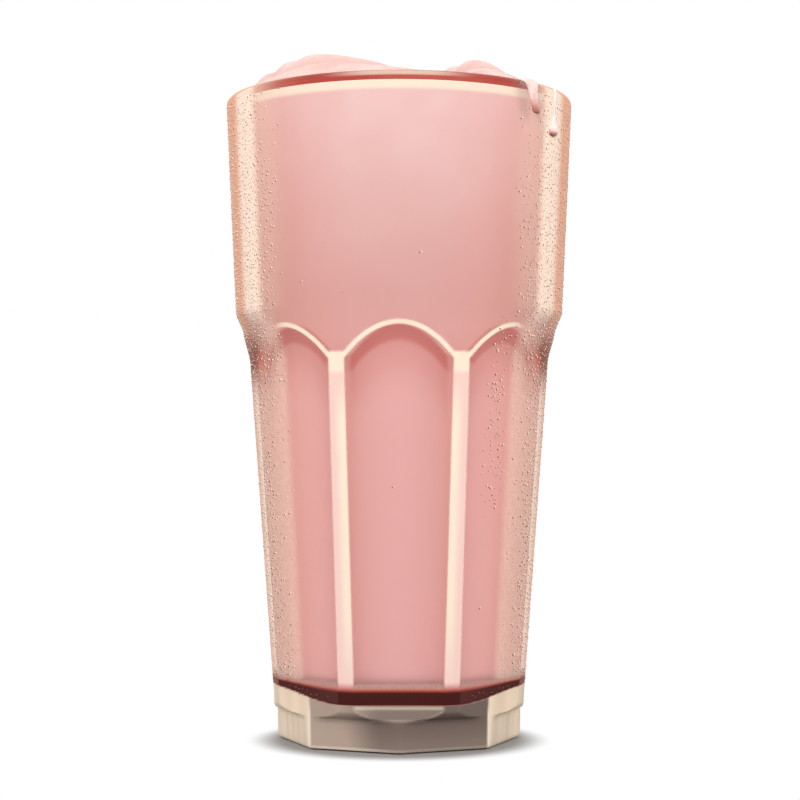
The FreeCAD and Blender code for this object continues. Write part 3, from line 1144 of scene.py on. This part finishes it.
@dataclass
class FrothMound:
    """One mound of froth, which folds over as it settles."""

    tumbler: Tumbler
    side: Side
    middle: tuple
    height: float
    phase: float
    wall_gap: float = 0.5
    crease_x: float = 3.0
    crease_turn: float = 24.0
    crease_width: float = 0.4
    corner_power: float = 7.0
    edge: float = 1.2
    fullness: float = 1.8
    lobes: int = 5
    lobe_depth: float = 0.20
    fold_share: float = 0.55
    fold_width: float = 0.10
    fold_depth: float = 1.1
    fold_wander: float = 0.12
    columns: int = 240
    rings: int = 90
    finish: FrothFinish = field(default_factory=FrothFinish)

    def reach(self, angles: np.ndarray) -> np.ndarray:
        """Distance from the mound's middle to its edge, at the wall or the crease."""
        x, y = self.middle
        radius = float(self.tumbler.bore(np.array(self.tumbler.level))) - self.wall_gap
        along = x * np.cos(angles) + y * np.sin(angles)
        to_wall = -along + np.sqrt(along ** 2 + radius ** 2 - x ** 2 - y ** 2)
        turn = math.radians(self.crease_turn)
        offset = (x - self.crease_x) * math.cos(turn) + y * math.sin(turn)
        to_crease = abs(offset) - 0.5 * self.crease_width
        facing = np.maximum(-self.side.value * np.cos(angles - turn), 0.0)
        closeness = to_wall ** -self.corner_power + (facing / to_crease) ** self.corner_power
        return closeness ** (-1.0 / self.corner_power)

    def build(self) -> bpy.types.Object:
        """The mound as one closed mesh in place of its solid."""
        level = self.tumbler.level
        angles = np.linspace(0.0, 2.0 * math.pi, self.columns, endpoint=False)[None, :]
        inner, outer = np.linspace(0.02, 0.9, self.rings - 20), np.linspace(0.9, 1.0, 21)[1:]
        shares = np.concatenate([inner, outer])[::-1, None]
        reach = self.reach(angles)
        x = self.middle[0] + shares * reach * np.cos(angles)
        y = self.middle[1] + shares * reach * np.sin(angles)
        lobes = self.lobe_depth * shares * np.cos(self.lobes * angles + self.phase)
        fold_share = self.fold_share + self.fold_wander * np.cos(angles + self.phase)
        fold = hump(fold_share, self.fold_width, shares)
        rise = (self.height - self.edge) * (1.0 - shares ** self.fullness)
        z = level + self.edge + rise * (1.0 + lobes) - self.fold_depth * fold
        base = np.stack([x[:1], y[:1], np.full_like(x[:1], level)], axis=-1).reshape(-1, 3)
        points = np.vstack([base, np.stack([x, y, z], axis=-1).reshape(-1, 3),
                            [[*self.middle, level], [*self.middle, float(z[-1].mean())]]])
        faces = closed_faces(len(shares) + 1, self.columns)
        folds = np.concatenate([fold[0], fold.ravel(), [0.0, 0.0]])
        name = "froth_" + self.side.name.lower()
        mound = mesh_object(name + "_mound", points, faces, self.finish.material(), {"fold": folds})
        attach(mound, BODY)
        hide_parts(name)
        return mound


@dataclass
class LipFilm:
    """Milk left on the inside of the lip, just above the drink, whose red-brown is painted shade seen through
    the glass.
    """

    tumbler: Tumbler
    top: float = 159.98
    reach: float = 0.03            # into the glass
    thickness: float = 0.22
    glint: tuple = (159.2, 0.13)   # middle and width
    glint_side: tuple = (62.0, 82.0)
    glint_share: float = 0.9
    tan_side: tuple = (44.0, 30.0)
    columns: int = 288
    through_glass: LipFilmFinish = field(default_factory=LipFilmFinish)
    from_inside: LipFilmFinish = LipFilmFinish(
        "lip_film_inside", linear(244, 200, 192), linear(236, 176, 168), end=linear(240, 200, 184))

    def build(self) -> bpy.types.Object:
        """A closed ring that follows the inner bend of the lip."""
        cup = self.tumbler
        inner = cup.outline[len(cup.outside):len(cup.outside) + cup.arc_steps]
        inner = inner[inner[:, 1] < self.top][::-1]
        heights = np.linspace(cup.level - 0.2, inner[0, 1], 6)[:-1]
        wall = np.vstack([np.column_stack([cup.bore(heights), heights]), inner])
        run = np.gradient(wall, axis=0)
        normal = np.column_stack([run[:, 1], -run[:, 0]]) / np.linalg.norm(run, axis=1)[:, None]
        outer = wall + normal * self.reach
        inside = wall - normal * self.thickness
        profile = np.vstack([outer, inside[::-1], outer[:1]])
        azimuths = even_azimuths(self.columns)
        spread = np.ones((1, self.columns))
        points = turned_points(profile[:-1, :1] * spread, profile[:-1, 1:] * spread, azimuths)
        rings = len(profile) - 1
        faces = ring_faces(rings, self.columns)
        last = (rings - 1) * self.columns
        for column in range(self.columns):
            after = (column + 1) % self.columns
            faces.append((last + column, last + after, after, column))
        side = cup.from_side(azimuths)
        glint = hump(*self.glint, profile[:-1, 1:]) * smooth_step(*self.glint_side, side)
        masks = {"end": smooth_step(*self.tan_side, side) * np.ones((rings, 1)),
                 "glint": glint * self.glint_share}
        ring = mesh_object("lip_milk", points, faces, self.through_glass.material(), masks)
        ring.data.materials.append(self.from_inside.material())
        for face in ring.data.polygons:
            face.material_index = int(face.index >= (len(wall) - 1) * self.columns)
        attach(ring, BODY)
        return ring


@dataclass
class Beads:
    """Beads of condensation on the outside of the glass, as one mesh."""

    tumbler: Tumbler
    name: str
    finish: BeadFinish
    shift: tuple = (0.0, 0.0)      # along the wall and up, from the bead's place
    seed: int = 11
    spacing: float = 1.16
    back_share: float = 0.45       # of the beads that the back keeps
    jitter: float = 0.42           # of the spacing
    lowest: float = 13.0
    from_height: float = 0.0       # no bead of this kind lies lower
    least: float = 0.12            # radius of the smallest bead
    most: float = 0.26
    flatness: float = 0.55
    sink: float = 0.05
    sides: int = 5
    fewest: float = 0.0015         # share kept where the glass is nearly dry
    # empty and full, in degrees from the X axis, and share
    band_side: tuple = (40.0, 34.0, 0.45)
    band_front: tuple = (52.0, 39.0, 1.0)
    shoulder_side: tuple = (44.0, 32.0, 1.2)
    body_side: tuple = (34.0, 28.0, 0.8)
    body_front: tuple = (44.0, 34.0, 0.12)
    foot_side_light: tuple = (72.0, 50.0, 1.0)
    # middle and width
    shoulder: tuple = (97.0, 6.5)
    flute: tuple = (49.0, 5.0)
    foot_line: tuple = (0.9, 0.9)
    # empty and full
    flute_heights: tuple = (52.0, 66.0)
    flute_share: float = 0.45
    band_heights: tuple = (152.0, 138.0)
    band_shares: tuple = (0.2, 0.35)
    wet_from: tuple = (-0.3, 0.0)  # height over the foot of the drink
    behind: tuple = (0.1, 0.45)    # Y as a share of the radius

    def density(self, azimuths: np.ndarray, heights: np.ndarray) -> np.ndarray:
        """Share of the beads kept at each place."""
        cup = self.tumbler
        side = cup.from_side(azimuths)
        over = heights - cup.drink_line(azimuths)
        band_side, band_front, shoulder_side, body_side, body_front, foot_side_light = (
            smooth_step(none, full, side) * share
            for none, full, share in (self.band_side, self.band_front, self.shoulder_side,
                                      self.body_side, self.body_front, self.foot_side_light))
        least, more = self.band_shares
        band = band_side + band_front * (least + more * smooth_step(*self.band_heights, heights))
        flute = hump(*self.flute, side) * (np.cos(azimuths) > 0.0) * self.flute_share
        flute = flute * smooth_step(*self.flute_heights, heights)
        above = smooth_step(cup.rib_top, cup.band_foot, heights)
        share = above * band + (1.0 - above) * np.maximum(body_side + body_front, flute)
        share = share + shoulder_side * hump(*self.shoulder, heights)
        share = share + foot_side_light * hump(*self.foot_line, over)
        wet = smooth_step(*self.wet_from, over) * (heights > self.from_height)
        wet *= 1.0 - (1.0 - self.back_share) * smooth_step(*self.behind, np.sin(azimuths))
        return np.clip(share, self.fewest, 1.0) * wet

    def places(self) -> tuple[np.ndarray, np.ndarray, np.ndarray]:
        """Azimuth, height and radius of every bead, on an uneven lattice."""
        chance = np.random.default_rng(self.seed)
        cup = self.tumbler
        count = int(2.0 * math.pi * cup.rim_radius / self.spacing)
        column, row = np.meshgrid(np.arange(count), np.arange(int((cup.level - self.lowest) / self.spacing)))
        stray = chance.uniform(-self.jitter, self.jitter, (2, *column.shape))
        azimuths = ((column + 0.5 * (row % 2) + stray[0]) * 2.0 * math.pi / count).ravel()
        heights = (self.lowest + (row + stray[1] + 0.5) * self.spacing).ravel()
        kept = chance.uniform(size=heights.size) < self.density(azimuths, heights)
        sizes = self.least + (self.most - self.least) * chance.uniform(size=heights.size) ** 2.0
        azimuths = azimuths + self.shift[0] / cup.envelope(heights)
        return azimuths[kept], heights[kept] + self.shift[1], sizes[kept]

    def build(self) -> bpy.types.Object:
        """Domes that sit a little into the wall."""
        azimuths, heights, sizes = self.places()
        radii = self.tumbler.outer_radius(azimuths, heights) + self.tumbler.film_gap
        out = np.stack([np.cos(azimuths), np.sin(azimuths), np.zeros_like(azimuths)], axis=-1)
        along = np.stack([-np.sin(azimuths), np.cos(azimuths), np.zeros_like(azimuths)], axis=-1)
        up = np.array([0.0, 0.0, 1.0])
        middle = out * radii[:, None] + up * heights[:, None]
        turn = np.linspace(0.0, 2.0 * math.pi, self.sides, endpoint=False)
        rings = []
        for share, rise in ((1.0, None), (0.8, 0.62)):
            depth = -self.sink * np.ones_like(sizes) if rise is None else sizes * self.flatness * rise
            for angle in turn:
                offset = along * math.cos(angle) + up * math.sin(angle)
                rings.append(middle + offset * (sizes * share)[:, None] + out * depth[:, None])
        rings.append(middle + out * (sizes * self.flatness)[:, None])
        rings.append(middle - out * self.sink)
        points = np.stack(rings, axis=1)
        sides = self.sides
        pattern = []
        for here in range(sides):
            after = (here + 1) % sides
            pattern.append((here, after, sides + after))
            pattern.append((here, sides + after, sides + here))
            pattern.append((2 * sides, sides + here, sides + after))
            pattern.append((2 * sides + 1, after, here))
        starts = np.arange(len(sizes))[:, None, None] * points.shape[1]
        faces = (np.array(pattern)[None] + starts).reshape(-1, 3)
        beads = mesh_object(self.name, points.reshape(-1, 3), faces.tolist(), self.finish.material())
        beads.visible_shadow = False
        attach(beads, BODY)
        return beads


@dataclass
class Drip:
    """A run of milk over the lip and down the outside."""

    tumbler: Tumbler
    name: str
    azimuth: float                 # degrees, 0 towards +X
    end: float                     # height of its lowest point
    lean: float                    # degrees by which it strays on the way down
    widths: tuple                  # half width at even steps from the inside of the lip to the end
    thickness: tuple               # and how proud it stands there
    # painted shade, browner towards the end of the run
    brown_from: float = 0.75       # share of the way at which it turns brown
    start_taper: float = 0.05      # share of the way over which it widens
    end_taper: float = 0.04
    sink: float = 0.12
    rings: int = 60
    sides: int = 12
    finish: SpillFinish = field(default_factory=SpillFinish)

    def path(self) -> tuple[np.ndarray, np.ndarray]:
        """Radius and height along the run, and the outward direction there."""
        cup = self.tumbler
        start = len(cup.outside) - cup.arc_steps
        over = cup.outline[start:start + 2 * cup.arc_steps][::-1]
        down = np.linspace(over[-1, 1], self.end, 40)[1:]
        line = np.vstack([over, np.column_stack([cup.envelope(down), down])])
        steps = np.append(0.0, np.cumsum(np.linalg.norm(np.diff(line, axis=0), axis=1)))
        even = np.linspace(0.0, steps[-1], self.rings)
        line = np.column_stack([np.interp(even, steps, line[:, 0]), np.interp(even, steps, line[:, 1])])
        run = np.gradient(line, axis=0)
        normal = np.column_stack([-run[:, 1], run[:, 0]]) / np.linalg.norm(run, axis=1)[:, None]
        return line, normal

    def build(self) -> bpy.types.Object:
        """A closed half-round bead along the path."""
        line, normal = self.path()
        shares = np.linspace(0.0, 1.0, self.rings)
        stops = np.linspace(0.0, 1.0, len(self.widths))
        taper = np.minimum(shares / self.start_taper, (1.0 - shares) / self.end_taper)
        taper = np.sqrt(np.clip(taper, 0.0, 1.0))
        width = np.interp(shares, stops, self.widths) * taper
        proud = np.interp(shares, stops, self.thickness) * taper
        azimuths = math.radians(self.azimuth) + math.radians(self.lean) * shares ** 2
        out = np.stack([np.cos(azimuths), np.sin(azimuths)], axis=-1)
        along = np.stack([-np.sin(azimuths), np.cos(azimuths)], axis=-1)
        rows = []
        for angle in np.linspace(0.0, math.pi, self.sides):
            lift = proud * math.sin(angle) - self.sink
            radius = line[:, 0] + normal[:, 0] * lift
            height = line[:, 1] + normal[:, 1] * lift
            flat = out * radius[:, None] + along * (width * math.cos(angle))[:, None]
            rows.append(np.column_stack([flat, height]))
        points = np.stack(rows, axis=1)[:, ::-1]
        ends = np.stack([points[0].mean(axis=0), points[-1].mean(axis=0)])
        faces = closed_faces(self.rings, self.sides)
        brown = np.repeat(smooth_step(self.brown_from, 1.0, shares), self.sides)
        drip = mesh_object(self.name, np.vstack([points.reshape(-1, 3), ends]), faces, self.finish.material(),
                           {"end": np.append(brown, [0.0, 1.0])})
        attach(drip, BODY)
        return drip


# --- studio --------------------------------------------------------------------------------


@dataclass
class Studio:
    """Floor, soft light and camera."""

    camera_distance: float = 485.0
    camera_height: float = 68.5
    camera_shift_x: float = 0.25
    camera_pitch: float = 1.916    # degrees up
    lens: float = 86.4
    floor_size: float = 6000.0
    soft_level: float = 0.68
    soft_colour: tuple = (1.0, 0.985, 0.965, 1.0)
    lamp_colour: tuple = (1.0, 0.975, 0.95)
    lamp_aim: float = 90.0         # height that the lamps face

    def build(self) -> None:
        """Sets the whole studio up."""
        self.build_floor()
        self.build_world()
        self.build_lamps()
        self.build_camera()
        bpy.context.scene.view_settings.view_transform = "Standard"

    def build_floor(self) -> None:
        """A plain white floor."""
        half = 0.5 * self.floor_size
        corners = np.array([[-half, -half, 0.0], [half, -half, 0.0], [half, half, 0.0], [-half, half, 0.0]])
        mesh_object("floor", corners, [(0, 1, 2, 3)], FloorFinish().material())

    def build_world(self) -> None:
        """Soft light from all round, and a white backdrop for what is seen or mirrored."""
        wiring = Wiring("studio", Owner.WORLD)
        soft = wiring.add("ShaderNodeBackground", {"Color": self.soft_colour, "Strength": self.soft_level})
        white = wiring.add("ShaderNodeBackground", {"Color": WHITE, "Strength": 1.0})
        both = wiring.add("ShaderNodeMixShader", {0: wiring.seen(), 1: soft.outputs[0], 2: white.outputs[0]})
        bpy.context.scene.world = wiring.finish(both.outputs[0])

    def build_lamps(self) -> None:
        """A large soft lamp in front, and one on each side."""
        middle = Vector((0.0, 0.0, self.lamp_aim)) * MM
        for name, place, size, power in (
            ("front_softbox", (0.0, -900.0, 380.0), (700.0, 500.0), 7.2),
            ("left_softbox", (-900.0, -250.0, 500.0), (300.0, 700.0), 3.5),
            ("right_softbox", (900.0, -250.0, 500.0), (300.0, 700.0), 3.5),
        ):
            lamp = bpy.data.lights.new(name, "AREA")
            lamp.shape = "RECTANGLE"
            lamp.size, lamp.size_y = size[0] * MM, size[1] * MM
            lamp.energy = power
            lamp.color = self.lamp_colour
            body = bpy.data.objects.new(name, lamp)
            body.location = Vector(place) * MM
            body.rotation_euler = (middle - body.location).to_track_quat("-Z", "Y").to_euler()
            body.visible_glossy = False
            body.visible_transmission = False
            bpy.context.scene.collection.objects.link(body)

    def build_camera(self) -> None:
        """A camera at the height of the glass's lower half, a little tilted up."""
        data = bpy.data.cameras.new("camera")
        data.lens = self.lens
        data.sensor_width = 36.0
        data.clip_start, data.clip_end = 0.01, 20.0
        camera = bpy.data.objects.new("camera", data)
        camera.location = Vector((self.camera_shift_x, -self.camera_distance, self.camera_height)) * MM
        camera.rotation_euler = (math.radians(90.0 + self.camera_pitch), 0.0, 0.0)
        bpy.context.scene.collection.objects.link(camera)
        bpy.context.scene.camera = camera


def main() -> None:
    """Builds the tumbler, what it holds and the studio, in that order."""
    logging.basicConfig(level=logging.INFO, format="%(message)s")
    tumbler = Tumbler()
    pieces = [
        tumbler.build(),
        LightFilm(tumbler).build(),
        Milkshake(tumbler).build(),
        FrothMound(tumbler, Side.LEFT, (-23.9, 4.7), 13.7, 0.47).build(),
        FrothMound(tumbler, Side.RIGHT, (16.8, 7.7), 13.0, 0.63).build(),
        LipFilm(tumbler).build(),
        # painted light and shade: lit and shaded copies of the beads, pale cream and dark brown
        Beads(tumbler, "shaded_beads", BeadFinish("shaded_bead", linear(112, 68, 50))).build(),
        Beads(tumbler, "lit_beads", BeadFinish("lit_bead", linear(250, 228, 212)), (0.36, 0.12),
              from_height=17.5).build(),
        Drip(tumbler, "wide_drip", -43.5, 152.3, 3.2, (3.2, 3.0, 2.4, 1.8, 1.5, 1.45, 1.4),
             (0.6, 0.7, 0.8, 0.8, 0.7, 0.8, 0.8), 0.55).build(),
        Drip(tumbler, "narrow_drip", -29.2, 147.9, -1.1, (0.9, 0.7, 0.6, 0.55, 0.6, 1.7, 2.1),
             (0.4, 0.4, 0.4, 0.4, 0.4, 1.0, 1.3), 0.86,
             finish=SpillFinish(milk=linear(250, 226, 222), brown=linear(140, 56, 40))).build(),
    ]
    for piece in pieces:
        LOG.info("%s: %d faces", piece.name, len(piece.data.polygons))
    Studio().build()
    LOG.info("studio: floor, lamps and camera")


if __name__ == "__main__":
    main()
